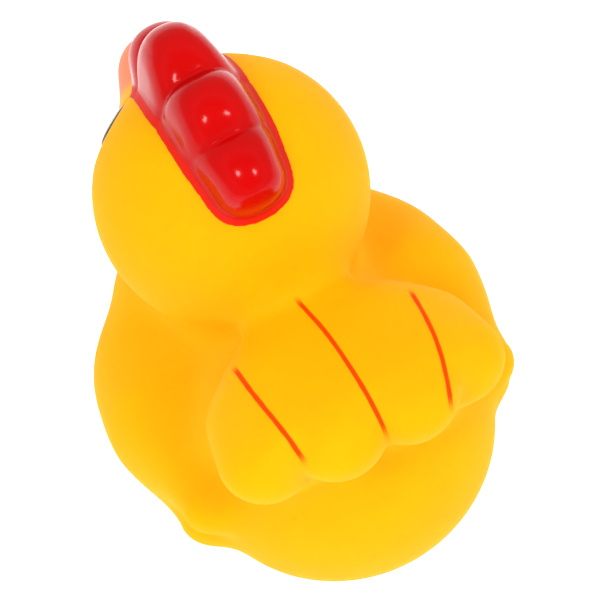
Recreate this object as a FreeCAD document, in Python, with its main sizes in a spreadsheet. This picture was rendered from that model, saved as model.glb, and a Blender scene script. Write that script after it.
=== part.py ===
import FreeCAD, Part
import math
import os
import Sketcher

# A hollow squeaky toy hen in soft vinyl. It faces -Y and stands on its flat base at Z = 0, with the
# origin under the middle of its length and width. Millimetres throughout.

doc = FreeCAD.newDocument("RubberChicken")
Vector = FreeCAD.Vector
Rotation = FreeCAD.Rotation

X_AXIS = Vector(1, 0, 0)
Y_AXIS = Vector(0, 1, 0)
Z_AXIS = Vector(0, 0, 1)

DIMENSIONS = {
    # the ball of the head, and where its centre is
    "HeadRadius": 21.5,
    "HeadForward": 12.65,
    "HeadHeight": 51.0,
    # torso: the ball of the rump, the ball of the chest, and the cone that touches both
    "RumpRadius": 24.8,
    "RumpBack": 19.95,
    "RumpHeight": 23.2,
    "ChestRadius": 22.5,
    "ChestForward": 6.95,
    "ChestHeight": 19.8,
    # thickness of the moulded vinyl
    "SkinWall": 1.8,
    # wings: the ball of the shoulder, and two feather tips that taper back from it
    "ShoulderRadius": 12.4,
    "ShoulderOut": 20.0,
    "ShoulderBack": 1.05,
    "ShoulderHeight": 18.6,
    "UpperTipRadius": 4.3,
    "UpperTipOut": 24.7,
    "UpperTipBack": 24.5,
    "UpperTipHeight": 31.4,
    "LowerRootRadius": 9.4,
    "LowerTipRadius": 4.4,
    "LowerTipOut": 24.2,
    "LowerTipBack": 22.9,
    "LowerTipHeight": 22.4,
    "HollowRadius": 2.6,
    "HollowOut": 23.4,
    "HollowBack": 19.5,
    "HollowHeight": 27.0,
    # tail: two inner and two outer lobes, each a round-ended bar with a stem down to the rump
    "InnerLobeRadius": 7.4,
    "InnerLobeOut": 6.1,
    "InnerLobeBack": 32.95,
    "InnerLobeHeight": 63.2,
    "InnerFrontRadius": 7.2,
    "InnerFrontBack": 17.15,
    "InnerFrontHeight": 54.9,
    "OuterLobeRadius": 6.9,
    "OuterLobeOut": 15.7,
    "OuterLobeBack": 30.55,
    "OuterLobeHeight": 57.4,
    "OuterFrontRadius": 6.2,
    "OuterFrontOut": 14.8,
    "OuterFrontBack": 23.35,
    "OuterFrontHeight": 56.5,
    "StemRadius": 8.4,
    "InnerStemRadius": 7.1,
    "OuterStemRadius": 6.6,
    "StemBack": 21.05,
    "StemHeight": 36.0,
    "InnerStemOut": 4.5,
    "OuterStemOut": 10.5,
    "TailCavityRadius": 4.8,
    "TailCavityOut": 14.5,
    # comb: round lobes in a row over the top of the head
    "CombRearRadius": 7.4,
    "CombUpperRadius": 8.2,
    "CombLargeRadius": 9.5,
    "CombFrontRadius": 7,
    "CombLobeReach": 20.8,
    "CombThickness": 11.6,
    "CombRounding": 3.5,
    "CombWall": 2.4,
    # beak
    "BeakHalfWidth": 7.0,
    "BeakHalfLength": 8.5,
    "BeakHalfHeight": 4.6,
    "BeakForward": 36.25,
    "BeakHeight": 48.0,
    # eyes, thin raised ovals of paint
    "EyeHalfWidth": 3.6,
    "EyeHalfHeight": 4.6,
    "EyePaint": 0.3,
    # squeaker: a flanged plastic cup pressed into the base
    "SqueakerBack": 5.0,
    "SqueakerRadius": 7.0,
    "SqueakerLength": 11.0,
    "SqueakerWall": 1.1,
    "FlangeRadius": 8.6,
    "FlangeThickness": 1.0,
    "FlangeRecess": 0.4,
    "CollarLength": 8.0,
    "AirHoleRadius": 0.8,
    "AirHoleCircle": 3.4,
    "AirHoleCount": 6,
    "GrilleThickness": 1.2,
    # reed block, its flat face, and the reed that lies along it
    "ReedBlockRadius": 2.6,
    "ReedBlockLength": 8.0,
    "ReedFaceOut": 0.8,
    "ReedFaceLength": 6.6,
    "AirBoreRadius": 1.1,
    "AirBoreSetback": 0.7,
    "AirBoreLength": 6.4,
    "WindowWidth": 2.0,
    "WindowLength": 4.4,
    "WindowStart": 1.8,
    "ReedWidth": 3.0,
    "ReedThickness": 0.3,
    "ReedLength": 6.0,
    "ReedStart": 0.4,
    "ReedGap": 0.12,
    "ClampWidth": 4.4,
    "ClampDepth": 1.2,
    "ClampLength": 1.2,
    "ClampStart": 0.2,
}

# angles in degrees
EYE_AZIMUTH = 34
EYE_ELEVATION = 12
COMB_ANGLES = {"Rear": 71.5, "Upper": 96.4, "Large": 125, "Front": 155}

MARGIN = 200.0


def make_sheet():
    sheet = doc.addObject("Spreadsheet::Sheet", "Dims")
    for row, (alias, value) in enumerate(DIMENSIONS.items(), start=1):
        sheet.set(f"A{row}", alias)
        sheet.set(f"B{row}", str(value))
        sheet.setAlias(f"B{row}", alias)
    doc.recompute()
    return sheet


dims = make_sheet()


def size(expression):
    """The value of a sheet expression such as 'Dims.HeadRadius + Dims.SkinWall'."""
    return float(dims.evalExpression(expression))


def bind(thing, **expressions):
    """Binds properties of a document object to expressions on the sheet."""
    for name, expression in expressions.items():
        thing.setExpression(name, expression)


def place(thing, x="0", y="0", z="0", rotation=None):
    """Binds a position to expressions on the sheet, at a fixed rotation."""
    thing.Placement = FreeCAD.Placement(Vector(), rotation or Rotation())
    for axis, expression in zip("xyz", (x, y, z)):
        thing.setExpression(f".Placement.Base.{axis}", expression)
    return thing


def sphere(name, radius):
    ball = doc.addObject("Part::Sphere", name)
    bind(ball, Radius=radius)
    return ball


def ellipsoid(name, half_width, half_length, half_height):
    shape = doc.addObject("Part::Ellipsoid", name)
    shape.Angle1 = -90
    shape.Angle2 = 90
    shape.Angle3 = 360
    bind(shape, Radius1=half_height, Radius2=half_width, Radius3=half_length)
    return shape


def cylinder(name, radius, length):
    shape = doc.addObject("Part::Cylinder", name)
    bind(shape, Radius=radius, Height=length)
    return shape


def box(name, length, width, height):
    shape = doc.addObject("Part::Box", name)
    bind(shape, Length=length, Width=width, Height=height)
    return shape


def fuse(name, shapes):
    joined = doc.addObject("Part::MultiFuse", name)
    joined.Shapes = shapes
    return joined


def cut(name, base, tool):
    result = doc.addObject("Part::Cut", name)
    result.Base = base
    result.Tool = tool
    return result


def common(name, first, second):
    result = doc.addObject("Part::Common", name)
    result.Base = first
    result.Tool = second
    return result


def mirrored(name, source):
    """The same piece on the other side of the mid-plane."""
    twin = doc.addObject("Part::Mirroring", name)
    twin.Source = source
    twin.Normal = X_AXIS
    return twin


def tapered_bar(name, start, end, start_radius, end_radius):
    """A ball at each end and the cone that touches both. The ends are triples of expressions."""
    first = Vector(*(size(term) for term in start))
    last = Vector(*(size(term) for term in end))
    axis = last - first
    sine = (size(start_radius) - size(end_radius)) / axis.Length
    cosine = math.sqrt(1 - sine * sine)
    spans = [f"(({far}) - ({near}))" for near, far in zip(start, end)]
    run = "sqrt(" + " + ".join(f"{span} ^ 2" for span in spans) + ")"
    cone = doc.addObject("Part::Cone", f"{name}Cone")
    bind(
        cone,
        Radius1=f"({start_radius}) * {cosine:.6f}",
        Radius2=f"({end_radius}) * {cosine:.6f}",
        Height=f"{run} * {cosine * cosine:.6f}",
    )
    shift = axis.normalize() * sine
    foot = [f"{near} + ({start_radius}) * {part:.6f}" for near, part in zip(start, shift)]
    place(cone, *foot, rotation=Rotation(Z_AXIS, axis))
    start_ball = place(sphere(f"{name}Start", start_radius), *start)
    end_ball = place(sphere(f"{name}End", end_radius), *end)
    return [start_ball, cone, end_ball]


# ---------------------------------------------------------------- skin of head and body


def head_ball(name, inset):
    ball = sphere(name, f"Dims.HeadRadius - {inset}")
    return place(ball, y="-Dims.HeadForward", z="Dims.HeadHeight")


def torso(name, inset):
    """Rump and chest as one lump, drawn in by inset on every side."""
    rump = ("0", "Dims.RumpBack", "Dims.RumpHeight")
    chest = ("0", "-Dims.ChestForward", "Dims.ChestHeight")
    return fuse(
        name,
        tapered_bar(name, rump, chest, f"Dims.RumpRadius - {inset}", f"Dims.ChestRadius - {inset}"),
    )


def below(name, height):
    """Everything under a height, as a large block."""
    block = doc.addObject("Part::Box", name)
    block.Length = 2 * MARGIN
    block.Width = 2 * MARGIN
    block.Height = MARGIN
    place(block, x=f"-{MARGIN}", y=f"-{MARGIN}", z=f"{height} - {MARGIN}")
    return block


def upright(name, radius, length, base):
    """A cylinder on the squeaker's axis that stands on the height base."""
    post = cylinder(name, radius, length)
    return place(post, y="Dims.SqueakerBack", z=base)


def make_body_skin(torso_outer, torso_inner, head_outer):
    stood = cut("BodyStood", torso_outer, below("Floor", "0"))
    shell = cut("BodyShell", stood, torso_inner)
    collar = upright("Collar", "Dims.SqueakerRadius + Dims.SkinWall", "Dims.CollarLength", "0")
    collared = fuse("BodyCollared", [shell, collar])
    bore = upright("SqueakerBore", "Dims.SqueakerRadius", "3 * Dims.CollarLength", "-Dims.CollarLength")
    seat = upright(
        "FlangeSeat",
        "Dims.FlangeRadius + Dims.ReedGap",
        "2 * Dims.FlangeThickness + 2 * Dims.FlangeRecess",
        "-Dims.FlangeThickness - Dims.FlangeRecess",
    )
    bored = cut("BodyBored", collared, fuse("BaseOpening", [bore, seat]))
    return cut("BodySkin", bored, head_outer)


def make_head_skin(head_outer, torso_inner):
    shell = cut("HeadShell", head_outer, head_ball("HeadCavity", "Dims.SkinWall"))
    return cut("HeadSkin", shell, torso_inner)


# ---------------------------------------------------------------- wings


def wing_bar(name, tip, root_radius):
    """The bar from the middle of the left shoulder's ball to one feather tip."""
    shoulder = ("Dims.ShoulderOut", "Dims.ShoulderBack", "Dims.ShoulderHeight")
    end = (f"Dims.{tip}Out", f"Dims.{tip}Back", f"Dims.{tip}Height")
    return tapered_bar(name, shoulder, end, root_radius, f"Dims.{tip}Radius")


def make_left_wing(torso_outer):
    upper = fuse("WingUpper", wing_bar("WingUpperTip", "UpperTip", "Dims.ShoulderRadius"))
    lower = fuse("WingLower", wing_bar("WingLowerTip", "LowerTip", "Dims.LowerRootRadius")[1:])
    cavity = fuse("WingCavity", wing_bar("WingHollow", "Hollow", "Dims.ShoulderRadius - Dims.SkinWall"))
    shell = cut("WingShell", fuse("WingOuter", [upper, lower]), cavity)
    return cut("WingLeft", shell, torso_outer)


# ---------------------------------------------------------------- tail


def tail_lobe(kind):
    """On the left: a round-ended bar that runs forward from its rear ball, and a stem down into the rump."""
    front_out = "Dims.InnerLobeOut" if kind == "Inner" else "Dims.OuterFrontOut"
    rear = (f"Dims.{kind}LobeOut", f"Dims.{kind}LobeBack", f"Dims.{kind}LobeHeight")
    front = (front_out, f"Dims.{kind}FrontBack", f"Dims.{kind}FrontHeight")
    foot = (f"Dims.{kind}StemOut", "Dims.StemBack", "Dims.StemHeight")
    bar = tapered_bar(f"Tail{kind}Bar", rear, front, f"Dims.{kind}LobeRadius", f"Dims.{kind}FrontRadius")
    stem = tapered_bar(f"Tail{kind}Stem", foot, rear, "Dims.StemRadius", f"Dims.{kind}StemRadius")
    return fuse(f"Tail{kind}Lobe", [fuse(f"Tail{kind}Rod", bar), stem[1]])


def left_of_middle(name):
    """Everything on the left of the mid-plane, as a large block."""
    block = doc.addObject("Part::Box", name)
    block.Length = MARGIN
    block.Width = 2 * MARGIN
    block.Height = 2 * MARGIN
    place(block, x="0", y=f"-{MARGIN}", z=f"-{MARGIN}")
    return block


def make_tail(torso_outer):
    """The left half, then its mirror image, joined on the mid-plane."""
    lobes = fuse("TailLobes", [tail_lobe("Inner"), tail_lobe("Outer")])
    half = common("TailHalfSolid", lobes, left_of_middle("TailLeftSide"))
    foot = ("Dims.InnerStemOut", "Dims.StemBack", "Dims.StemHeight")
    tip = ("Dims.TailCavityOut", "Dims.OuterLobeBack", "Dims.OuterLobeHeight")
    hollow = tapered_bar("TailHollow", foot, tip, "Dims.StemRadius - Dims.SkinWall", "Dims.TailCavityRadius")
    shell = cut("TailHalfShell", half, fuse("TailCavity", hollow))
    left = cut("TailHalf", shell, torso_outer)
    return fuse("TailFan", [left, mirrored("TailOtherHalf", left)])


# ---------------------------------------------------------------- comb, beak and eyes


def comb_lobe(name, lobe, angle, inset):
    """A disc across the mid-plane; angle is measured up from straight behind the head."""
    thickness = f"(Dims.CombThickness - 2 * {inset})"
    disc = cylinder(name, f"Dims.Comb{lobe}Radius - {inset}", thickness)
    along = math.cos(math.radians(angle))
    up = math.sin(math.radians(angle))
    return place(
        disc,
        f"-{thickness} / 2",
        f"{along:.6f} * Dims.CombLobeReach - Dims.HeadForward",
        f"{up:.6f} * Dims.CombLobeReach + Dims.HeadHeight",
        rotation=Rotation(Y_AXIS, 90),
    )


def comb_ridge(name, inset, rounding):
    """The row of discs, each with both of its rims rounded."""
    lobes = []
    for lobe, angle in COMB_ANGLES.items():
        disc = comb_lobe(f"{name}{lobe}Disc", lobe, angle, inset)
        doc.recompute()
        rims = [
            number
            for number, edge in enumerate(disc.Shape.Edges, start=1)
            if edge.Closed and isinstance(edge.Curve, Part.Circle)
        ]
        rounded = doc.addObject("Part::Fillet", f"{name}{lobe}Lobe")
        rounded.Base = disc
        rounded.Edges = [(number, rounding, rounding) for number in rims]
        lobes.append(rounded)
    return fuse(name, lobes)


def make_comb(head_outer):
    rounding = size("Dims.CombRounding")
    wall = size("Dims.CombWall")
    outer = comb_ridge("CombOuter", "0", rounding)
    inner = comb_ridge("CombInner", "Dims.CombWall", rounding - wall)
    return cut("Comb", cut("CombShell", outer, inner), head_outer)


def make_beak_half(name, upper, head_outer):
    egg = ellipsoid(f"{name}Egg", "Dims.BeakHalfWidth", "Dims.BeakHalfLength", "Dims.BeakHalfHeight")
    place(egg, y="-Dims.BeakForward", z="Dims.BeakHeight")
    mouth_side = below(f"{name}Side", "Dims.BeakHeight")
    half = cut(f"{name}Half", egg, mouth_side) if upper else common(f"{name}Half", egg, mouth_side)
    return cut(name, half, head_outer)


def make_left_eye(head_outer):
    azimuth = math.radians(EYE_AZIMUTH)
    elevation = math.radians(EYE_ELEVATION)
    outward = Vector(
        math.sin(azimuth) * math.cos(elevation),
        -math.cos(azimuth) * math.cos(elevation),
        math.sin(elevation),
    )
    turn = Rotation(Z_AXIS, EYE_AZIMUTH) * Rotation(X_AXIS, -EYE_ELEVATION)
    oval = ellipsoid("EyeOval", "Dims.EyeHalfWidth", "Dims.HeadRadius / 4", "Dims.EyeHalfHeight")
    place(
        oval,
        f"{outward.x:.6f} * Dims.HeadRadius",
        f"{outward.y:.6f} * Dims.HeadRadius - Dims.HeadForward",
        f"{outward.z:.6f} * Dims.HeadRadius + Dims.HeadHeight",
        rotation=turn,
    )
    layer = common("EyeLayer", oval, head_ball("EyeBall", "(-Dims.EyePaint)"))
    return cut("EyeLeft", layer, head_outer)


# ---------------------------------------------------------------- squeaker


def new_body(name):
    return doc.addObject("PartDesign::Body", name)


def sketch_on(body, name, role):
    plane = next(item for item in body.Origin.OriginFeatures if item.Role == role)
    sketch = body.newObject("Sketcher::SketchObject", name)
    sketch.AttachmentSupport = [(plane, "")]
    sketch.MapMode = "FlatFace"
    return sketch


def bound_constraint(sketch, expression, kind, *where):
    index = sketch.addConstraint(Sketcher.Constraint(kind, *where, size(expression)))
    sketch.setExpression(f"Constraints[{index}]", expression)


def draw_polygon(sketch, corners):
    """Closed polygon; each corner is a pair of sheet expressions for positive coordinates."""
    points = [Vector(size(across), size(up), 0) for across, up in corners]
    count = len(points)
    for index, point in enumerate(points):
        sketch.addGeometry(Part.LineSegment(point, points[(index + 1) % count]), False)
    for index in range(count):
        sketch.addConstraint(Sketcher.Constraint("Coincident", index, 2, (index + 1) % count, 1))
    for index, (across, up) in enumerate(corners):
        bound_constraint(sketch, across, "DistanceX", -1, 1, index, 1)
        bound_constraint(sketch, up, "DistanceY", -1, 1, index, 1)


def draw_centred_circle(sketch, radius):
    edge = sketch.addGeometry(Part.Circle(Vector(), Z_AXIS, size(radius)), False)
    sketch.addConstraint(Sketcher.Constraint("Coincident", edge, 3, -1, 1))
    bound_constraint(sketch, radius, "Radius", edge)


def seat_squeaker(thing, rise="0"):
    """Stands a squeaker part on the squeaker's axis, rise above the flange's outer face."""
    return place(thing, y="Dims.SqueakerBack", z=f"Dims.FlangeRecess + {rise}")


BLOCK_START = "(Dims.SqueakerLength - Dims.ReedBlockLength)"


def make_squeaker_housing():
    body = new_body("SqueakerHousing")
    profile = sketch_on(body, "HousingProfile", "XZ_Plane")
    inside = "Dims.SqueakerRadius - Dims.SqueakerWall"
    ceiling = "Dims.SqueakerLength - Dims.SqueakerWall"
    base = "Dims.SqueakerWall"
    draw_polygon(
        profile,
        [
            (inside, base),
            ("Dims.FlangeRadius", base),
            ("Dims.FlangeRadius", f"{base} + Dims.FlangeThickness"),
            ("Dims.SqueakerRadius", f"{base} + Dims.FlangeThickness"),
            ("Dims.SqueakerRadius", f"{base} + Dims.SqueakerLength"),
            ("Dims.ReedBlockRadius", f"{base} + Dims.SqueakerLength"),
            ("Dims.ReedBlockRadius", f"{base} + {ceiling}"),
            (inside, f"{base} + {ceiling}"),
        ],
    )
    turned = body.newObject("PartDesign::Revolution", "HousingTurned")
    turned.Profile = profile
    turned.ReferenceAxis = (profile, ["V_Axis"])
    turned.Angle = 360
    body.Tip = turned
    return seat_squeaker(body, f"0 - {base}")


def make_squeaker_grille():
    body = new_body("SqueakerGrille")
    outline = sketch_on(body, "GrilleOutline", "XY_Plane")
    draw_centred_circle(outline, "Dims.SqueakerRadius - Dims.SqueakerWall")
    disc = body.newObject("PartDesign::Pad", "GrilleDisc")
    disc.Profile = outline
    bind(disc, Length="Dims.GrilleThickness")
    body.Tip = disc
    hole = sketch_on(body, "AirHole", "XY_Plane")
    edge = hole.addGeometry(
        Part.Circle(Vector(size("Dims.AirHoleCircle"), 0, 0), Z_AXIS, size("Dims.AirHoleRadius")), False
    )
    hole.addConstraint(Sketcher.Constraint("PointOnObject", edge, 3, -1))
    bound_constraint(hole, "Dims.AirHoleCircle", "DistanceX", -1, 1, edge, 3)
    bound_constraint(hole, "Dims.AirHoleRadius", "Radius", edge)
    drilled = body.newObject("PartDesign::Pocket", "AirHoleDrilled")
    drilled.Profile = hole
    drilled.Type = "ThroughAll"
    drilled.Midplane = True
    ring = body.newObject("PartDesign::PolarPattern", "AirHoleRing")
    ring.Originals = [drilled]
    ring.Axis = (hole, ["N_Axis"])
    ring.Angle = 360
    ring.Occurrences = int(size("Dims.AirHoleCount"))
    body.Tip = ring
    return seat_squeaker(body)


def make_reed_block():
    """A round post through the housing's top, with a flat face, an air bore and a window."""
    post = cylinder("BlockPost", "Dims.ReedBlockRadius", "Dims.ReedBlockLength")
    seat_squeaker(post, BLOCK_START)
    flat = box("BlockFlat", "4 * Dims.ReedBlockRadius", "2 * Dims.ReedBlockRadius", "Dims.ReedFaceLength")
    place(
        flat,
        "-2 * Dims.ReedBlockRadius",
        "Dims.SqueakerBack + Dims.ReedFaceOut",
        f"Dims.FlangeRecess + {BLOCK_START}",
    )
    bore = cylinder("AirBore", "Dims.AirBoreRadius", "2 * Dims.AirBoreLength")
    place(
        bore,
        "0",
        "Dims.SqueakerBack - Dims.AirBoreSetback",
        "Dims.FlangeRecess + Dims.SqueakerLength - Dims.AirBoreLength",
    )
    window = box("AirWindow", "Dims.WindowWidth", "2 * Dims.ReedFaceOut + Dims.AirBoreSetback", "Dims.WindowLength")
    place(
        window,
        "-Dims.WindowWidth / 2",
        "Dims.SqueakerBack - Dims.AirBoreSetback",
        f"Dims.FlangeRecess + {BLOCK_START} + Dims.WindowStart",
    )
    return cut("ReedBlock", post, fuse("BlockWaste", [flat, bore, window]))


def strip(name, width, depth, length, out, start):
    """A bar along Z, centred across the reed's face, out from the face and start up from the block's foot."""
    bar = box(name, width, depth, length)
    return place(
        bar,
        f"-({width}) / 2",
        f"Dims.SqueakerBack + Dims.ReedFaceOut + {out}",
        f"Dims.FlangeRecess + {BLOCK_START} + {start}",
    )


def make_reed():
    return strip("Reed", "Dims.ReedWidth", "Dims.ReedThickness", "Dims.ReedLength", "Dims.ReedGap", "Dims.ReedStart")


def make_reed_clamp():
    bridge = strip("ClampBridge", "Dims.ClampWidth", "Dims.ClampDepth", "Dims.ClampLength", "0", "Dims.ClampStart")
    slot = strip(
        "ClampSlot",
        "Dims.ReedWidth + 2 * Dims.ReedGap",
        "Dims.ReedThickness + 2 * Dims.ReedGap",
        "2 * Dims.ClampLength",
        "0",
        "Dims.ClampStart - Dims.ClampLength / 2",
    )
    return cut("ReedClamp", bridge, slot)


# ---------------------------------------------------------------- assembly


def build():
    """Every separate piece, by the name of its node."""
    torso_outer = torso("TorsoOuter", "0")
    torso_inner = cut("TorsoCavity", torso("TorsoInner", "Dims.SkinWall"), below("BaseWall", "Dims.SkinWall"))
    head_outer = head_ball("HeadOuter", "0")
    left_wing = make_left_wing(torso_outer)
    left_eye = make_left_eye(head_outer)
    return {
        "body_skin": make_body_skin(torso_outer, torso_inner, head_outer),
        "head_skin": make_head_skin(head_outer, torso_inner),
        "wing_left": left_wing,
        "wing_right": mirrored("WingRight", left_wing),
        "tail_fan": make_tail(torso_outer),
        "comb": make_comb(head_outer),
        "beak_upper": make_beak_half("BeakUpper", True, head_outer),
        "beak_lower": make_beak_half("BeakLower", False, head_outer),
        "eye_left": left_eye,
        "eye_right": mirrored("EyeRight", left_eye),
        "squeaker_housing": make_squeaker_housing(),
        "squeaker_grille": make_squeaker_grille(),
        "reed_block": make_reed_block(),
        "reed": make_reed(),
        "reed_clamp": make_reed_clamp(),
    }


def check(parts):
    for thing in doc.Objects:
        if "Invalid" in thing.State or "Error" in thing.State:
            raise RuntimeError(f"{thing.Name} did not compute: {thing.State}")
    for node, part in parts.items():
        shape = part.Shape
        if shape.isNull() or not shape.isValid() or len(shape.Solids) != 1:
            raise RuntimeError(f"{node} is not one valid solid ({len(shape.Solids)} solids)")


def export(parts):
    os.makedirs("parts", exist_ok=True)
    for node, part in parts.items():
        part.Label = node
        part.Shape.exportStep(f"parts/{node}.step")
        extent = part.Shape.BoundBox
        print(
            f"{node:18s} {part.Shape.Volume:9.1f} mm3"
            f"  x {extent.XMin:7.2f} {extent.XMax:7.2f}"
            f"  y {extent.YMin:7.2f} {extent.YMax:7.2f}"
            f"  z {extent.ZMin:7.2f} {extent.ZMax:7.2f}"
        )


parts = build()
doc.recompute()
check(parts)
export(parts)
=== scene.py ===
"""Looks of the squeaky vinyl hen: a soft yellow skin, a glossy red comb, a beak, two eyes, a squeaker.

The shapes are worked out in millimetres as distance fields about the middle of the head. A field is a
function of an (n, 3) array of points that is negative inside the piece. The head's, the rump's and the
squeaker's sizes and places come from the CAD nodes, and most of the rest is placed from the head.
"""

import math

import bpy
import numpy as np
from mathutils import Matrix, Vector


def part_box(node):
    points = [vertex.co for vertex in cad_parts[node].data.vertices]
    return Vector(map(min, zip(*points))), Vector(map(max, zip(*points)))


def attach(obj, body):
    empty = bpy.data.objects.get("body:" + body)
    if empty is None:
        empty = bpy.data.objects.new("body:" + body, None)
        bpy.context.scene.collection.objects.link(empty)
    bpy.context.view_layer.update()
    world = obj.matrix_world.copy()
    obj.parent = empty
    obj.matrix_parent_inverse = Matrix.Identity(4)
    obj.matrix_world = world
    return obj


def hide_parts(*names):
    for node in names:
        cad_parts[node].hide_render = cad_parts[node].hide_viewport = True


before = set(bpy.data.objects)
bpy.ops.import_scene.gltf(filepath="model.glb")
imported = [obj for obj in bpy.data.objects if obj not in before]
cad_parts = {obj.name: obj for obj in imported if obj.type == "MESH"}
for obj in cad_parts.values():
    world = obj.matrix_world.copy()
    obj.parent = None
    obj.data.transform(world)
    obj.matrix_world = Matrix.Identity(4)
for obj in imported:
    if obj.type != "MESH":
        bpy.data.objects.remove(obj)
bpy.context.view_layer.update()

MM = 0.001


# ------------------------------------------------------------------ sizes read from the CAD nodes


def node_box(node):
    """Lowest and highest corner of a CAD node, in millimetres."""
    low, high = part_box(node)
    return np.array(low) / MM, np.array(high) / MM


RUMP_SHAPE = np.array([1.0, 0.95, 0.99])
RUMP_RISE = 1.2

head_low, head_high = node_box("head_skin")
HEAD_RADIUS = (head_high[0] - head_low[0]) / 2
HEAD = np.array([0.0, head_low[1] + HEAD_RADIUS, head_high[2] - HEAD_RADIUS])

body_low, body_high = node_box("body_skin")
RUMP_RADII = RUMP_SHAPE * (body_high[0] - body_low[0]) / 2
RUMP = np.array([0.0, body_high[1] - RUMP_RADII[1], body_high[2] + RUMP_RISE - RUMP_RADII[2]])
FLOOR = body_low[2]

seat_low, seat_high = node_box("squeaker_housing")
FLANGE_RADIUS = (seat_high[0] - seat_low[0]) / 2
SQUEAKER = (seat_low + seat_high) / 2


# ------------------------------------------------------------------ distance fields


def turned(rx=0.0, rz=0.0):
    """Rotation matrix from angles in degrees about X, then Z."""
    return np.array(Matrix.Rotation(math.radians(rz), 3, "Z") @ Matrix.Rotation(math.radians(rx), 3, "X"))


def ball(points, centre, radius):
    """A sphere."""
    return np.linalg.norm(points - centre, axis=1) - radius


def egg(points, centre, radii, turn=None):
    """An ellipsoid, turned by a matrix if one is given."""
    local = points - centre
    if turn is not None:
        local = local @ turn
    radii = np.asarray(radii, float)
    reach = np.linalg.norm(local / radii, axis=1)
    slope = np.linalg.norm(local / radii**2, axis=1)
    return reach * (reach - 1) / np.maximum(slope, 1e-9)


def bar(points, start, end, start_radius, end_radius):
    """A round-ended bar between two points, tapering from one radius to the other."""
    start = np.asarray(start, float)
    axis = np.asarray(end, float) - start
    along = np.clip((points - start) @ axis / (axis @ axis), 0, 1)
    nearest = start + along[:, None] * axis
    return np.linalg.norm(points - nearest, axis=1) - (start_radius + (end_radius - start_radius) * along)


def join(first, second, soft):
    """Union with a fillet about as wide as soft."""
    mix = np.maximum(soft - np.abs(first - second), 0) / soft
    return np.minimum(first, second) - mix * mix * soft / 4


def trim(first, second, soft):
    """Intersection with a rounded edge about as wide as soft."""
    return -join(-first, -second, soft)


def mirrored(points):
    """The same points folded onto the left side, where X is positive."""
    folded = points.copy()
    folded[:, 0] = np.abs(folded[:, 0])
    return folded


# ------------------------------------------------------------------ the hen's shape

NECK_FILLET = 7.0
SKIN_FLOOR_ROUNDING = 2.0

CHEST, CHEST_RADII, CHEST_FILLET = HEAD + (0, 5, -31.5), (24.3, 21.5, 20.5), 12
# the belly is a bar whose middle stands above the floor by a little less than its radius
BELLY_REAR, BELLY_FRONT = (0.0, 19.5, 19.5), (0.0, -8.0, 18.8)
BELLY_SINK, BELLY_FILLET = 1.2, 3

SHOULDER, SHOULDER_RADII = HEAD + (21.3, 16.2, -31.5), (11.0, 18.5, 12.5)
SHOULDER_TURN = turned(rx=12, rz=1)
# the tips, lobes and stems are bars: two ends, and the radius at each
UPPER_TIP = HEAD + (21.6, 20, -27), HEAD + (24.7, 37.2, -19.6), 9, 4.2
LOWER_TIP = HEAD + (21.0, 20, -32), HEAD + (24.6, 35.5, -28.8), 9, 4.6
UPPER_TIP_FILLET, LOWER_TIP_FILLET, WING_FILLET = 6, 2, 5.0

INNER_LOBE = HEAD + (5.9, 45.6, 12.2), HEAD + (6.1, 29.4, 3.7), 8.0, 7.4
INNER_STEM = HEAD + (5.4, 43.0, 6.0), HEAD + (4, 34.5, -14), 7.2, 9
OUTER_LOBE = HEAD + (16.1, 42.3, 6.0), HEAD + (15.2, 35.6, 3.4), 7.4, 6.9
OUTER_STEM = HEAD + (15.0, 41.5, 1.0), HEAD + (10, 33, -14), 6.6, 9
STEM_FILLET = 2
GROOVE_SHALLOW, GROOVE_SHARP, GROOVE_SHARPENS_FROM = 7.0, 1.0, 45
MIDDLE_GROOVE_EXTRA = 0.5
TAIL_RIM = 5.0
# the top of the tail is part of a large sphere through TAIL_TOP, where it faces forward and up
TAIL_TOP, TAIL_FACING, TAIL_LID_RADIUS = np.array([0.0, 34.2, 14.6]), np.array([0.0, -0.46, 0.888]), 40.0
TAIL_LID = HEAD + (TAIL_TOP - TAIL_LID_RADIUS * TAIL_FACING)
TAIL_FILLET, SADDLE_FILLET = 3.5, 7.5
SADDLE_GROWTH, SADDLE_END = 0.6, 36

SEAT_CLEARANCE, SEAT_DEPTH, SEAT_RIM = 0.12, 1.2, 0.4

EYE_AZIMUTH = 34.0
EYE_ELEVATION = 12.0
EYE_FLAT, EYE_FLAT_ROUNDING = 0.45, 1.2
EYE_DOME_DEPTH, EYE_DOME_RADIUS = 6.05, 15.5
EYE_RADII = (3.6, 5.4, 4.6)
EYE_RIM, EYE_SUNK = 0.35, 1.0

MUZZLE = HEAD + (0, -14.0, -3.0)
MUZZLE_RADII = (12.0, 9.5, 8.0)
MUZZLE_FILLET = 4.0
BEAK = HEAD + (0, -23.6, -3.0)
BEAK_RADII = (6.9, 8.5, 4.6)
BEAK_FILLET = 5.0
BEAK_PAINT_REACH = 3.0
MOUTH_GAP, LIP_ROUNDING = 0.12, 0.5

# each lobe's angle from straight behind, its distance from the middle of the head, and its radius
COMB_LOBES = ((71.0, 21.2, 7.3), (97.0, 22.3, 6.8), (125.5, 22.5, 8.0), (154.0, 21.8, 6.8))
COMB_CREASE = 0.5
COMB_FROM_ANGLE, COMB_TO_ANGLE = 66.0, 152.0
COMB_FOOT_HALF_WIDTH, COMB_TOP_HALF_WIDTH = 6.9, 4.6
COMB_TAPER_ANGLES, COMB_TAPER = (50, 62, 85, 120, 150), (0.76, 0.80, 0.96, 1.0, 0.93)
COMB_REACH = 29.0
COMB_ROUNDING = 4.5
COMB_FILLET = 2.0
COMB_PAINT_REACH = 1.35
PAINT_EDGE = 0.2
PIECE_DEPTH = 4.0


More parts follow.
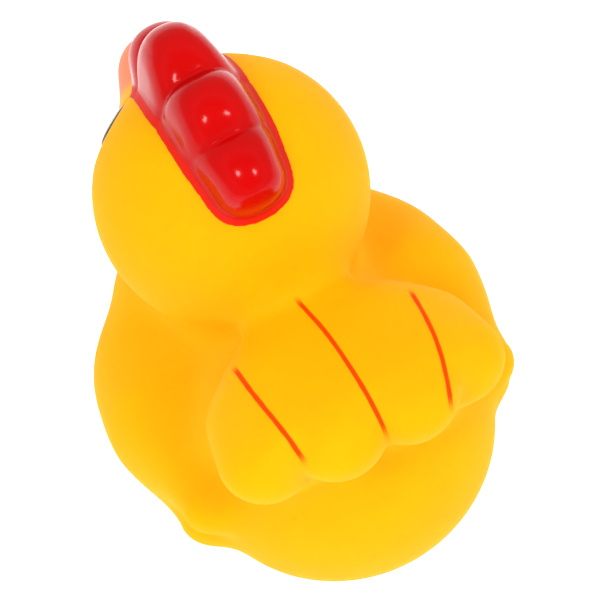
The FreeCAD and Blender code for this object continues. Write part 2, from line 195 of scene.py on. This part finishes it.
def eye_turn(side):
    """Rotation from straight ahead to an eye: side is +1 for the left, -1 for the right."""
    return turned(rz=side * EYE_AZIMUTH) @ turned(rx=-EYE_ELEVATION)


EYE_OUTWARD = eye_turn(1) @ np.array([0.0, -1.0, 0.0])


def eye_point(side, reach):
    """The point at a distance from the middle of the head, out through an eye."""
    return HEAD + EYE_OUTWARD * (side, 1, 1) * reach


def head_field(points):
    """The ball of the head, swollen round the beak, with a slightly flattened patch under each eye."""
    folded = mirrored(points) - HEAD
    patch = folded @ EYE_OUTWARD - (HEAD_RADIUS - EYE_FLAT)
    muzzle = egg(points, MUZZLE, MUZZLE_RADII)
    skull = trim(np.linalg.norm(folded, axis=1) - HEAD_RADIUS, patch, EYE_FLAT_ROUNDING)
    return join(skull, muzzle, MUZZLE_FILLET)


def torso_field(points):
    """Rump, chest and a flat-bottomed belly between them."""
    rump = egg(points, RUMP, RUMP_RADII)
    chest = egg(points, CHEST, CHEST_RADII)
    belly = bar(points, BELLY_REAR, BELLY_FRONT, BELLY_REAR[2] + BELLY_SINK, BELLY_FRONT[2] + BELLY_SINK)
    return join(join(rump, chest, CHEST_FILLET), belly, BELLY_FILLET)


def wing_field(points):
    """A shoulder and two tips, on both sides."""
    folded = mirrored(points)
    shoulder = egg(folded, SHOULDER, SHOULDER_RADII, SHOULDER_TURN)
    with_upper = join(shoulder, bar(folded, *UPPER_TIP), UPPER_TIP_FILLET)
    return join(with_upper, bar(folded, *LOWER_TIP), LOWER_TIP_FILLET)


def groove_softness(points):
    """The grooves between the tail's lobes are shallow on top and close to sharp notches at the rear."""
    behind = points[:, 1] - HEAD[1]
    return np.clip(GROOVE_SHALLOW - (behind - GROOVE_SHARPENS_FROM), GROOVE_SHARP, GROOVE_SHALLOW)


def tail_field(points):
    """Two inner and two outer lobes on their stems, under one domed lid."""
    folded = mirrored(points)
    across = folded * (-1, 1, 1)
    softness = groove_softness(points)
    inner = join(bar(folded, *INNER_LOBE), bar(across, *INNER_LOBE), softness + MIDDLE_GROOVE_EXTRA)
    inner = join(inner, bar(folded, *INNER_STEM), STEM_FILLET)
    outer = join(bar(folded, *OUTER_LOBE), bar(folded, *OUTER_STEM), STEM_FILLET)
    lid = ball(points, TAIL_LID, TAIL_LID_RADIUS)
    return join(trim(inner, lid, TAIL_RIM), trim(outer, lid, TAIL_RIM), softness)


def skin_field(points):
    """The whole vinyl skin, cut flat by the floor, with a round seat for the squeaker's flange."""
    skin = join(torso_field(points), head_field(points), NECK_FILLET)
    skin = join(skin, wing_field(points), WING_FILLET)
    ahead_of_tail = SADDLE_END - (points[:, 1] - HEAD[1])
    saddle = np.clip(TAIL_FILLET + SADDLE_GROWTH * ahead_of_tail, TAIL_FILLET, SADDLE_FILLET)
    skin = join(skin, tail_field(points), saddle)
    skin = trim(skin, FLOOR - points[:, 2], SKIN_FLOOR_ROUNDING)
    across = np.hypot(points[:, 0] - SQUEAKER[0], points[:, 1] - SQUEAKER[1])
    seat = np.maximum(across - FLANGE_RADIUS - SEAT_CLEARANCE, points[:, 2] - seat_low[2] - SEAT_DEPTH)
    return trim(skin, -seat, SEAT_RIM)


def comb_ridge(points):
    """A ridge over the mid-plane: round lobes in profile, a stadium in plan, thinner at its top."""
    local = points - HEAD
    profile = None
    for angle, reach, radius in COMB_LOBES:
        turn = math.radians(angle)
        lobe = np.hypot(
            local[:, 1] - math.cos(turn) * reach,
            local[:, 2] - math.sin(turn) * reach,
        ) - radius
        profile = lobe if profile is None else join(profile, lobe, COMB_CREASE)
    height = np.hypot(local[:, 1], local[:, 2])
    angle = np.arctan2(local[:, 2], local[:, 1])
    angle = np.where(angle < -math.pi / 2, angle + 2 * math.pi, angle)
    half_width = np.interp(height, (HEAD_RADIUS, COMB_REACH), (COMB_FOOT_HALF_WIDTH, COMB_TOP_HALF_WIDTH))
    half_width = half_width * np.interp(angle, np.radians(COMB_TAPER_ANGLES), COMB_TAPER)
    beyond = np.maximum(math.radians(COMB_FROM_ANGLE) - angle, angle - math.radians(COMB_TO_ANGLE))
    plan = np.hypot(local[:, 0], np.maximum(beyond, 0) * height) - half_width
    return trim(profile, plan, COMB_ROUNDING)


def on_head(points, raised, fillet, reach):
    """A raised feature with its fillet onto the head and a thin painted margin round it."""
    head = head_field(points)
    surface = join(raised, head, fillet)
    edge = trim(surface, raised - reach, PAINT_EDGE)
    return np.maximum(edge, -(head + PIECE_DEPTH))


def comb_field(points):
    """The comb with its painted margin."""
    return on_head(points, comb_ridge(points), COMB_FILLET, COMB_PAINT_REACH)


def beak_field(points, side):
    """One half of the beak: side is +1 for the upper, -1 for the lower."""
    whole = on_head(points, egg(points, BEAK, BEAK_RADII), BEAK_FILLET, BEAK_PAINT_REACH)
    mouth = side * (BEAK[2] - points[:, 2]) + MOUTH_GAP
    return trim(whole, mouth, LIP_ROUNDING)


def eye_field(points, side):
    """A shallow domed oval on the head: side is +1 for the left, -1 for the right."""
    oval = egg(points, eye_point(side, HEAD_RADIUS), EYE_RADII, eye_turn(side))
    dome = ball(points, eye_point(side, EYE_DOME_DEPTH), EYE_DOME_RADIUS)
    return np.maximum(trim(dome, oval, EYE_RIM), -(head_field(points) + EYE_SUNK))


# ------------------------------------------------------------------ from field to mesh

CORNERS = np.array([(i, j, k) for i in (0, 1) for j in (0, 1) for k in (0, 1)])
EDGES = [(a, b) for a in range(8) for b in range(a + 1, 8) if np.abs(CORNERS[a] - CORNERS[b]).sum() == 1]
SETTLING_ROUNDS = 3
PROBE_SHARE, MOVE_SHARE = 0.2, 0.5
LEAST_STEEPNESS, LEAST_LENGTH = 0.05, 1e-9


def sampled(field, low, cell, count):
    """The field's values on a grid, one sheet of constant X at a time."""
    axes = [low[axis] + cell * np.arange(count[axis]) for axis in range(3)]
    sheet = np.array(np.meshgrid(axes[1], axes[2], indexing="ij")).reshape(2, -1)
    values = np.empty(count, np.float32)
    for index, x in enumerate(axes[0]):
        points = np.column_stack([np.full(sheet.shape[1], x), sheet[0], sheet[1]])
        values[index] = field(points).reshape(count[1], count[2])
    return values


def gradient(field, points, step):
    """How steeply the field rises along each axis."""
    slopes = np.empty_like(points)
    for axis in range(3):
        shift = np.zeros(3)
        shift[axis] = step
        slopes[:, axis] = (field(points + shift) - field(points - shift)) / (2 * step)
    return slopes


def cell_vertices(values, inside, low, cell):
    """One vertex in each cell that the surface crosses, and a grid of their numbers, -1 where none is."""
    cells = tuple(n - 1 for n in values.shape)
    filled = np.zeros(cells, np.int8)
    for i, j, k in CORNERS:
        filled += inside[i : i + cells[0], j : j + cells[1], k : k + cells[2]]
    active = (filled > 0) & (filled < len(CORNERS))
    where = np.argwhere(active)
    number = np.full(cells, -1, np.int64)
    number[active] = np.arange(len(where))
    corner_values = np.stack([values[tuple((where + corner).T)] for corner in CORNERS])
    total = np.zeros((len(where), 3))
    crossings = np.zeros(len(where))
    for a, b in EDGES:
        cut = (corner_values[a] < 0) != (corner_values[b] < 0)
        share = corner_values[a][cut] / (corner_values[a][cut] - corner_values[b][cut])
        total[cut] += CORNERS[a] + share[:, None] * (CORNERS[b] - CORNERS[a])
        crossings[cut] += 1
    return low + cell * (where + total / crossings[:, None]), number


def face_quads(inside, number):
    """A quad round each grid edge that the surface crosses, facing outward."""
    quads = []
    for axis in range(3):
        u, v = (axis + 1) % 3, (axis + 2) % 3
        changed = inside != np.roll(inside, -1, axis)
        within = [slice(1, -1)] * 3
        within[axis] = slice(0, -1)
        keep = np.zeros_like(changed)
        keep[tuple(within)] = changed[tuple(within)]
        starts = np.argwhere(keep)
        step_u, step_v = np.eye(3, dtype=int)[u], np.eye(3, dtype=int)[v]
        ring = [starts - step_u - step_v, starts - step_v, starts, starts - step_u]
        quad = np.stack([number[tuple(cell_index.T)] for cell_index in ring], axis=1)
        flip = ~inside[tuple(starts.T)]
        quad[flip] = quad[flip][:, ::-1]
        quads.append(quad)
    return np.concatenate(quads)


def settled(field, vertices, cell):
    """The vertices, moved down the field's slope onto its zero surface."""
    for _ in range(SETTLING_ROUNDS):
        slopes = gradient(field, vertices, cell * PROBE_SHARE)
        steepness = np.maximum((slopes * slopes).sum(1), LEAST_STEEPNESS)
        move = slopes * (field(vertices) / steepness)[:, None]
        length = np.linalg.norm(move, axis=1, keepdims=True)
        vertices = vertices - move * np.minimum(1, MOVE_SHARE * cell / np.maximum(length, LEAST_LENGTH))
    return vertices


def surface_net(field, low, high, cell):
    """Vertices and quads of the field's zero surface, between two corners, with quads about one cell wide."""
    low = np.asarray(low, float)
    count = tuple(np.ceil((np.asarray(high) - low) / cell).astype(int) + 1)
    values = sampled(field, low, cell, count)
    inside = values < 0
    vertices, number = cell_vertices(values, inside, low, cell)
    return settled(field, vertices, cell), face_quads(inside, number)


def piece(name, field, low, high, cell, material, slot, *nodes):
    """A smooth closed piece from a field, riding on the toy and standing for CAD nodes."""
    vertices, quads = surface_net(field, low, high, cell)
    mesh = bpy.data.meshes.new(name)
    mesh.from_pydata((vertices * MM).tolist(), [], quads.tolist())
    mesh.shade_smooth()
    mesh.materials.append(material)
    shown = bpy.data.objects.new(name, mesh)
    bpy.context.scene.collection.objects.link(shown)
    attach(shown, "toy")
    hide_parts(*nodes)
    return shown, vertices


def add_attribute(shown, name, values):
    """A number at each vertex, for a material to read."""
    attribute = shown.data.attributes.new(name, "FLOAT", "POINT")
    attribute.data.foreach_set("value", np.asarray(values, np.float32))


# ------------------------------------------------------------------ materials


class Nodes:
    """A short way to write a material's node tree."""

    def __init__(self, name):
        self.material = bpy.data.materials.new(name)
        self.material.use_nodes = True
        self.tree = self.material.node_tree
        self.tree.nodes.clear()
        self.shader = self.add("ShaderNodeBsdfPrincipled")
        output = self.add("ShaderNodeOutputMaterial")
        self.tree.links.new(self.shader.outputs["BSDF"], output.inputs["Surface"])
        self.place = self.add("ShaderNodeTexCoord").outputs["Object"]

    def add(self, kind, **settings):
        node = self.tree.nodes.new(kind)
        for key, value in settings.items():
            setattr(node, key, value)
        return node

    def put(self, socket, value):
        """Links a socket to an output, or sets its number or colour."""
        if isinstance(value, bpy.types.NodeSocket):
            self.tree.links.new(value, socket)
        else:
            socket.default_value = value

    def maths(self, operation, first, second=0.0, clamp=False):
        node = self.add("ShaderNodeMath", operation=operation, use_clamp=clamp)
        self.put(node.inputs[0], first)
        self.put(node.inputs[1], second)
        return node.outputs[0]

    def ramp(self, value, low, high):
        """0 at low and beyond, 1 at high and beyond, smooth between. Low may be the larger."""
        node = self.add("ShaderNodeMapRange", interpolation_type="SMOOTHSTEP")
        self.put(node.inputs["Value"], value)
        self.put(node.inputs["From Min"], low)
        self.put(node.inputs["From Max"], high)
        return node.outputs["Result"]

    def mix(self, share, first, second):
        node = self.add("ShaderNodeMix", data_type="RGBA")
        self.put(node.inputs["Factor"], share)
        self.put(node.inputs["A"], first)
        self.put(node.inputs["B"], second)
        return node.outputs["Result"]

    def noise(self, scale, detail=3.0):
        node = self.add("ShaderNodeTexNoise")
        self.put(node.inputs["Vector"], self.place)
        self.put(node.inputs["Scale"], scale)
        self.put(node.inputs["Detail"], detail)
        return node.outputs["Fac"]

    def specks(self, scale, size):
        """Sparse round dots: 1 in a dot."""
        node = self.add("ShaderNodeTexVoronoi")
        self.put(node.inputs["Vector"], self.place)
        self.put(node.inputs["Scale"], scale)
        return self.ramp(node.outputs["Distance"], size, size * 0.5)

    def attribute(self, name):
        return self.add("ShaderNodeAttribute", attribute_name=name).outputs["Fac"]

    def bump(self, height, distance, strength, below=None):
        """Fine relief, laid over other relief where below is given."""
        node = self.add("ShaderNodeBump")
        self.put(node.inputs["Height"], height)
        self.put(node.inputs["Distance"], distance)
        self.put(node.inputs["Strength"], strength)
        if below is not None:
            self.put(node.inputs["Normal"], below)
        return node.outputs["Normal"]

    def finish(self, **inputs):
        """Sets the shader's inputs, with _ for a space in their names, and returns the material."""
        for key, value in inputs.items():
            self.put(self.shader.inputs[key.replace("_", " ")], value)
        return self.material


YOLK, YOLK_DEEP = (0.97, 0.338, 0.001, 1), (0.97, 0.312, 0.001, 1)
SPECK_BROWN, SPECK_STRENGTH = (0.5, 0.16, 0.002, 1), 0.45
LINE_RED = (0.88, 0.045, 0.001, 1)
# distances in mm between which paint comes in or runs out
LINE_EDGE, LINE_WOBBLE, LINE_END = (0.56, 0.32), 0.16, (0.6, -1.6)
COMB_PAINT_THINS, COMB_GLOSS_FADES = (0.25, 0.75), (0.02, 0.4)
BEAK_PAINT_FADES = (1.0, 2.1)
COMB_RED, COMB_RED_DEEP = (0.43, 0.001, 0.001, 1), (0.39, 0.001, 0.001, 1)
COMB_THIN_RED = (0.54, 0.008, 0.001, 1)
COMB_ROUGHNESS, COMB_FOOT_ROUGHER = 0.15, 0.45
BEAK_ORANGE, BEAK_ORANGE_DEEP = (0.90, 0.24, 0.13, 1), (0.88, 0.21, 0.10, 1)
EYE_BLACK, EYE_GREY = (0.004, 0.004, 0.005, 1), (0.010, 0.010, 0.011, 1)
MILKY_WHITE, MILKY_ROUGHNESS = (0.80, 0.81, 0.78, 1), 0.42
FILM_GREY, FILM_ROUGHNESS = (0.62, 0.66, 0.68, 1), 0.2
PLASTIC_SHADE = 0.93
PAPER, PAPER_SHADE = (0.93, 0.93, 0.93, 1), (0.90, 0.90, 0.90, 1)


def vinyl_colour(nodes):
    """Warm yellow with faint cloudy variation and a few tiny dark specks."""
    cloud = nodes.noise(45.0)
    base = nodes.mix(nodes.ramp(cloud, 0.3, 0.75), YOLK, YOLK_DEEP)
    dots = nodes.maths("MULTIPLY", nodes.specks(110.0, 0.055), nodes.ramp(nodes.noise(70.0), 0.52, 0.6))
    return nodes.mix(nodes.maths("MULTIPLY", dots, SPECK_STRENGTH), base, SPECK_BROWN)


def vinyl_bump(nodes):
    """A fine matt grain over faint soft unevenness."""
    fine = nodes.bump(nodes.noise(2600.0, 2.0), 0.00002, 0.5)
    return nodes.bump(nodes.noise(160.0, 2.0), 0.00012, 0.35, below=fine)


def skin_material():
    """Yellow vinyl with the tail's red lines painted on it, from the distances at its vertices."""
    nodes = Nodes("yellow_vinyl")
    line = 0.0
    for name in LINES:
        aside = nodes.maths("ABSOLUTE", nodes.attribute(name))
        aside = nodes.maths("ADD", aside, nodes.maths("MULTIPLY", nodes.noise(500.0), LINE_WOBBLE))
        taper = nodes.ramp(nodes.attribute(name + "_end"), *LINE_END)
        stroke = nodes.ramp(aside, *LINE_EDGE)
        line = nodes.maths("ADD", line, nodes.maths("MULTIPLY", stroke, taper), clamp=True)
    colour = nodes.mix(line, vinyl_colour(nodes), LINE_RED)
    return nodes.finish(
        Base_Color=colour,
        Roughness=0.6,
        Specular_IOR_Level=0.03,
        Subsurface_Weight=0.5,
        Subsurface_Radius=(0.006, 0.004, 0.0004),
        Subsurface_Scale=1.0,
        Normal=vinyl_bump(nodes),
    )


def comb_material():
    """Glossy red paint that turns thin, bright and matt where it runs out on the head."""
    nodes = Nodes("comb_paint")
    foot = nodes.attribute("raised")
    uneven = nodes.maths("ADD", foot, nodes.maths("MULTIPLY", nodes.noise(420.0), 0.3))
    thin = nodes.ramp(uneven, *COMB_PAINT_THINS)
    shade = nodes.mix(nodes.ramp(nodes.noise(90.0), 0.35, 0.7), COMB_RED, COMB_RED_DEEP)
    colour = nodes.mix(thin, shade, COMB_THIN_RED)
    matt = nodes.maths("MULTIPLY", nodes.ramp(foot, *COMB_GLOSS_FADES), COMB_FOOT_ROUGHER)
    rough = nodes.maths("ADD", COMB_ROUGHNESS, matt)
    return nodes.finish(
        Base_Color=colour,
        Roughness=rough,
        Specular_IOR_Level=0.11,
        Subsurface_Weight=0.05,
        Subsurface_Radius=(0.002, 0.0003, 0.0002),
        Subsurface_Scale=1.0,
        Normal=nodes.bump(nodes.noise(190.0, 2.0), 0.0001, 0.3),
    )


def beak_material():
    """Soft orange paint that fades into the yellow at its edge."""
    nodes = Nodes("beak_paint")
    uneven = nodes.maths("ADD", nodes.attribute("raised"), nodes.noise(300.0))
    fade = nodes.ramp(uneven, *BEAK_PAINT_FADES)
    paint = nodes.mix(nodes.noise(120.0), BEAK_ORANGE, BEAK_ORANGE_DEEP)
    return nodes.finish(
        Base_Color=nodes.mix(fade, paint, YOLK),
        Roughness=0.5,
        Specular_IOR_Level=0.15,
        Subsurface_Weight=0.1,
        Subsurface_Radius=(0.003, 0.001, 0.0004),
        Subsurface_Scale=1.0,
        Normal=vinyl_bump(nodes),
    )


def eye_material():
    """Glossy black paint."""
    nodes = Nodes("eye_paint")
    return nodes.finish(
        Base_Color=nodes.mix(nodes.noise(260.0), EYE_BLACK, EYE_GREY),
        Roughness=0.22,
        Specular_IOR_Level=0.5,
        Normal=nodes.bump(nodes.noise(300.0, 2.0), 0.00004, 0.3),
    )


def plastic_material(name, colour, roughness):
    """Plain plastic, a little uneven in colour."""
    nodes = Nodes(name)
    deep = tuple(channel * PLASTIC_SHADE for channel in colour[:3]) + (1,)
    return nodes.finish(
        Base_Color=nodes.mix(nodes.noise(220.0), colour, deep),
        Roughness=roughness,
        Specular_IOR_Level=0.45,
        Subsurface_Weight=0.15,
        Subsurface_Radius=(0.001, 0.001, 0.001),
        Subsurface_Scale=1.0,
        Normal=nodes.bump(nodes.noise(900.0, 2.0), 0.00002, 0.5),
    )


# ------------------------------------------------------------------ pieces

# painted lines on the tail, as (left, behind) from the middle of the head
LINES = {
    "line_left": ((13.9, 28.4), (13.9, 33.6), (13.5, 39.5), (12.9, 45.3), (12.4, 49.0)),
    "line_middle": ((0.5, 22.9), (-0.1, 32.5), (0.1, 43.0), (0.2, 51.4)),
    "line_right": ((-14.6, 30.8), (-14.0, 36.5), (-13.0, 42.5), (-11.6, 47.5), (-10.0, 52.0)),
}
LINE_LOWEST = 5.0
LINE_DEGREE = 3

SKIN_CELL, COMB_CELL, BEAK_CELL, EYE_CELL = 0.6, 0.4, 0.35, 0.22
BORDER = 2.0
WING_ROOM = 9.0
COMB_LOWEST, COMB_FORWARD_ROOM, COMB_HEADROOM = 4.0, 6.0, 1.0
EYE_ROOM = np.array([7.0, 7.0, 7.0])


def line_offsets(vertices, line):
    """Seen from above: signed distance from a painted line, and distance outside its two ends."""
    local = vertices - HEAD
    bend = np.polynomial.Polynomial.fit(line[:, 1], line[:, 0], LINE_DEGREE)
    back = np.clip(local[:, 1], line[0, 1], line[-1, 1])
    path = bend(back)
    slope = bend.deriv()(back)
    aside = (local[:, 0] - path) / np.sqrt(1 + slope**2)
    beyond = np.maximum(line[0, 1] - local[:, 1], local[:, 1] - line[-1, 1])
    underneath = LINE_LOWEST - local[:, 2]
    return aside, np.maximum(beyond, underneath)


def make_skin():
    """The vinyl skin, with the distances that its material paints the red lines from."""
    low = np.array([body_low[0] - WING_ROOM, head_low[1], FLOOR]) - BORDER
    high = np.array([body_high[0] + WING_ROOM, body_high[1], head_high[2]]) + BORDER
    skin, vertices = piece(
        "hen_skin", skin_field, low, high, SKIN_CELL, skin_material(), "yellow_vinyl",
        "body_skin", "head_skin", "wing_left", "wing_right", "tail_fan",
    )
    for name, line in LINES.items():
        aside, along = line_offsets(vertices, np.array(line))
        add_attribute(skin, name, aside)
        add_attribute(skin, name + "_end", along)


def make_comb():
    """The comb, with each vertex's distance outside its ridge."""
    half = COMB_FOOT_HALF_WIDTH + COMB_PAINT_REACH
    low = HEAD + (-half, -HEAD_RADIUS - COMB_FORWARD_ROOM, COMB_LOWEST) - BORDER
    high = HEAD + (half, HEAD_RADIUS, COMB_REACH + COMB_HEADROOM) + BORDER
    comb, vertices = piece(
        "comb_ridge", comb_field, low, high, COMB_CELL, comb_material(), "comb_paint", "comb",
    )
    add_attribute(comb, "raised", comb_ridge(vertices))


def make_beak():
    """The beak's two halves."""
    material = beak_material()
    reach = np.array(BEAK_RADII) + BEAK_PAINT_REACH + BORDER
    for name, side, node in (("beak_top", 1, "beak_upper"), ("beak_bottom", -1, "beak_lower")):
        half, vertices = piece(
            name, lambda points: beak_field(points, side), BEAK - reach, BEAK + reach,
            BEAK_CELL, material, "beak_paint", node,
        )
        add_attribute(half, "raised", egg(vertices, BEAK, BEAK_RADII))


def make_eyes():
    """The painted eyes."""
    material = eye_material()
    for name, side, node in (("eye_oval_left", 1, "eye_left"), ("eye_oval_right", -1, "eye_right")):
        centre = eye_point(side, HEAD_RADIUS)
        piece(
            name, lambda points: eye_field(points, side), centre - EYE_ROOM, centre + EYE_ROOM,
            EYE_CELL, material, "eye_paint", node,
        )


def finish_squeaker():
    """The squeaker's own CAD pieces, in milky plastic and a grey film."""
    milky = plastic_material("squeaker_plastic", MILKY_WHITE, MILKY_ROUGHNESS)
    film = plastic_material("reed_film", FILM_GREY, FILM_ROUGHNESS)
    for node, material in (
        ("squeaker_housing", milky),
        ("squeaker_grille", milky),
        ("reed_block", milky),
        ("reed_clamp", milky),
        ("reed", film),
    ):
        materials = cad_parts[node].data.materials
        materials.clear()
        materials.append(material)


# ------------------------------------------------------------------ floor, light and camera

# angles are in degrees: bearings from straight behind the hen toward its left, elevations from the floor;
# the tent is evenly bright but for a dim round opening overhead
TENT_LIGHT, OPENING_LIGHT = 0.6, 0.002
OPENING_BEARING, OPENING_ELEVATION = 15.0, 68.0
OPENING_INNER, OPENING_OUTER = 30.0, 62.0
FLOOR_HALF, FLOOR_GAP = 3000.0, 0.1
FLOOR_GLOW = 0.35

# the camera looks at a point aside of and below the middle of the head
CAMERA_ELEVATION = 66.0
CAMERA_BEARING = 19.2
CAMERA_ROLL = 9.0
CAMERA_DISTANCE = 490.0
CAMERA_LENS = 190.3
CAMERA_CLIP_START = 10.0
VIEW_ASIDE, VIEW_DOWN = 10.6, 16.7


def make_floor():
    """A wide sheet of white paper, just under the hen."""
    mesh = bpy.data.meshes.new("floor")
    signs = ((-1, -1), (1, -1), (1, 1), (-1, 1))
    half, height = FLOOR_HALF * MM, (FLOOR - FLOOR_GAP) * MM
    mesh.from_pydata([(x * half, y * half, height) for x, y in signs], [], [(0, 1, 2, 3)])
    nodes = Nodes("white_paper")
    paper = nodes.finish(
        Base_Color=nodes.mix(nodes.noise(60.0), PAPER, PAPER_SHADE),
        Roughness=0.9,
        Specular_IOR_Level=0.1,
        Emission_Color=(1, 1, 1, 1),
        Emission_Strength=FLOOR_GLOW,
    )
    mesh.materials.append(paper)
    floor = bpy.data.objects.new("floor", mesh)
    bpy.context.scene.collection.objects.link(floor)


def toward(bearing, elevation):
    """Unit vector along a bearing and an elevation."""
    a, e = math.radians(bearing), math.radians(elevation)
    return Vector((math.sin(a) * math.cos(e), math.cos(a) * math.cos(e), math.sin(e)))


def soft_box(name, bearing, elevation, distance, width, height, power, mirrored_in_gloss=True):
    """A rectangular lamp that faces the head: sizes in metres, power in watts."""
    lamp = bpy.data.lights.new(name, "AREA")
    lamp.shape = "RECTANGLE"
    lamp.size = width
    lamp.size_y = height
    lamp.energy = power
    holder = bpy.data.objects.new(name, lamp)
    direction = toward(bearing, elevation)
    holder.location = Vector(HEAD * MM) + direction * distance
    holder.rotation_mode = "QUATERNION"
    holder.rotation_quaternion = (-direction).to_track_quat("-Z", "Y")
    holder.visible_glossy = mirrored_in_gloss
    bpy.context.scene.collection.objects.link(holder)


def make_light():
    """The light tent and its three panels."""
    world = bpy.data.worlds.new("light_tent")
    world.use_nodes = True
    tree = world.node_tree
    tree.nodes["Background"].inputs["Color"].default_value = (1, 1, 1, 1)
    outward = tree.nodes.new("ShaderNodeTexCoord").outputs["Generated"]
    facing = tree.nodes.new("ShaderNodeVectorMath")
    facing.operation = "DOT_PRODUCT"
    facing.inputs[1].default_value = toward(OPENING_BEARING, OPENING_ELEVATION)
    ramp = tree.nodes.new("ShaderNodeMapRange")
    ramp.interpolation_type = "SMOOTHSTEP"
    tree.links.new(outward, facing.inputs[0])
    tree.links.new(facing.outputs["Value"], ramp.inputs["Value"])
    ramp.inputs["From Min"].default_value = math.cos(math.radians(OPENING_OUTER))
    ramp.inputs["From Max"].default_value = math.cos(math.radians(OPENING_INNER))
    ramp.inputs["To Min"].default_value = TENT_LIGHT
    ramp.inputs["To Max"].default_value = OPENING_LIGHT
    tree.links.new(ramp.outputs["Result"], tree.nodes["Background"].inputs["Strength"])
    bpy.context.scene.world = world
    soft_box("key", bearing=62, elevation=60, distance=0.8, width=0.11, height=0.16, power=2.4)
    soft_box("fill", bearing=-40, elevation=55, distance=0.8, width=0.10, height=0.13, power=1.7)
    soft_box(
        "overhead", bearing=OPENING_BEARING, elevation=OPENING_ELEVATION,
        distance=0.9, width=3.0, height=3.0, power=38.0, mirrored_in_gloss=False,
    )


def make_camera():
    """The camera, at the photograph's viewing angle."""
    camera = bpy.data.objects.new("camera", bpy.data.cameras.new("camera"))
    camera.data.lens = CAMERA_LENS
    camera.data.clip_start = CAMERA_CLIP_START * MM
    direction = toward(CAMERA_BEARING, CAMERA_ELEVATION)
    camera.location = Vector(HEAD * MM) + direction * CAMERA_DISTANCE * MM
    level = Vector((0, 0, 1)).cross(direction).normalized()
    rise = direction.cross(level)
    roll = math.radians(CAMERA_ROLL)
    right = level * math.cos(roll) - rise * math.sin(roll)
    up = rise * math.cos(roll) + level * math.sin(roll)
    middle = Vector(HEAD * MM) + (right * VIEW_ASIDE - up * VIEW_DOWN) * MM
    look = (middle - camera.location).normalized()
    side = look.cross(up).normalized()
    camera.rotation_mode = "QUATERNION"
    camera.rotation_quaternion = Matrix((side, side.cross(look), -look)).transposed().to_quaternion()
    bpy.context.scene.collection.objects.link(camera)
    bpy.context.scene.camera = camera


make_skin()
make_comb()
make_beak()
make_eyes()
finish_squeaker()
make_floor()
make_light()
make_camera()

bpy.context.scene.view_settings.view_transform = "Standard"
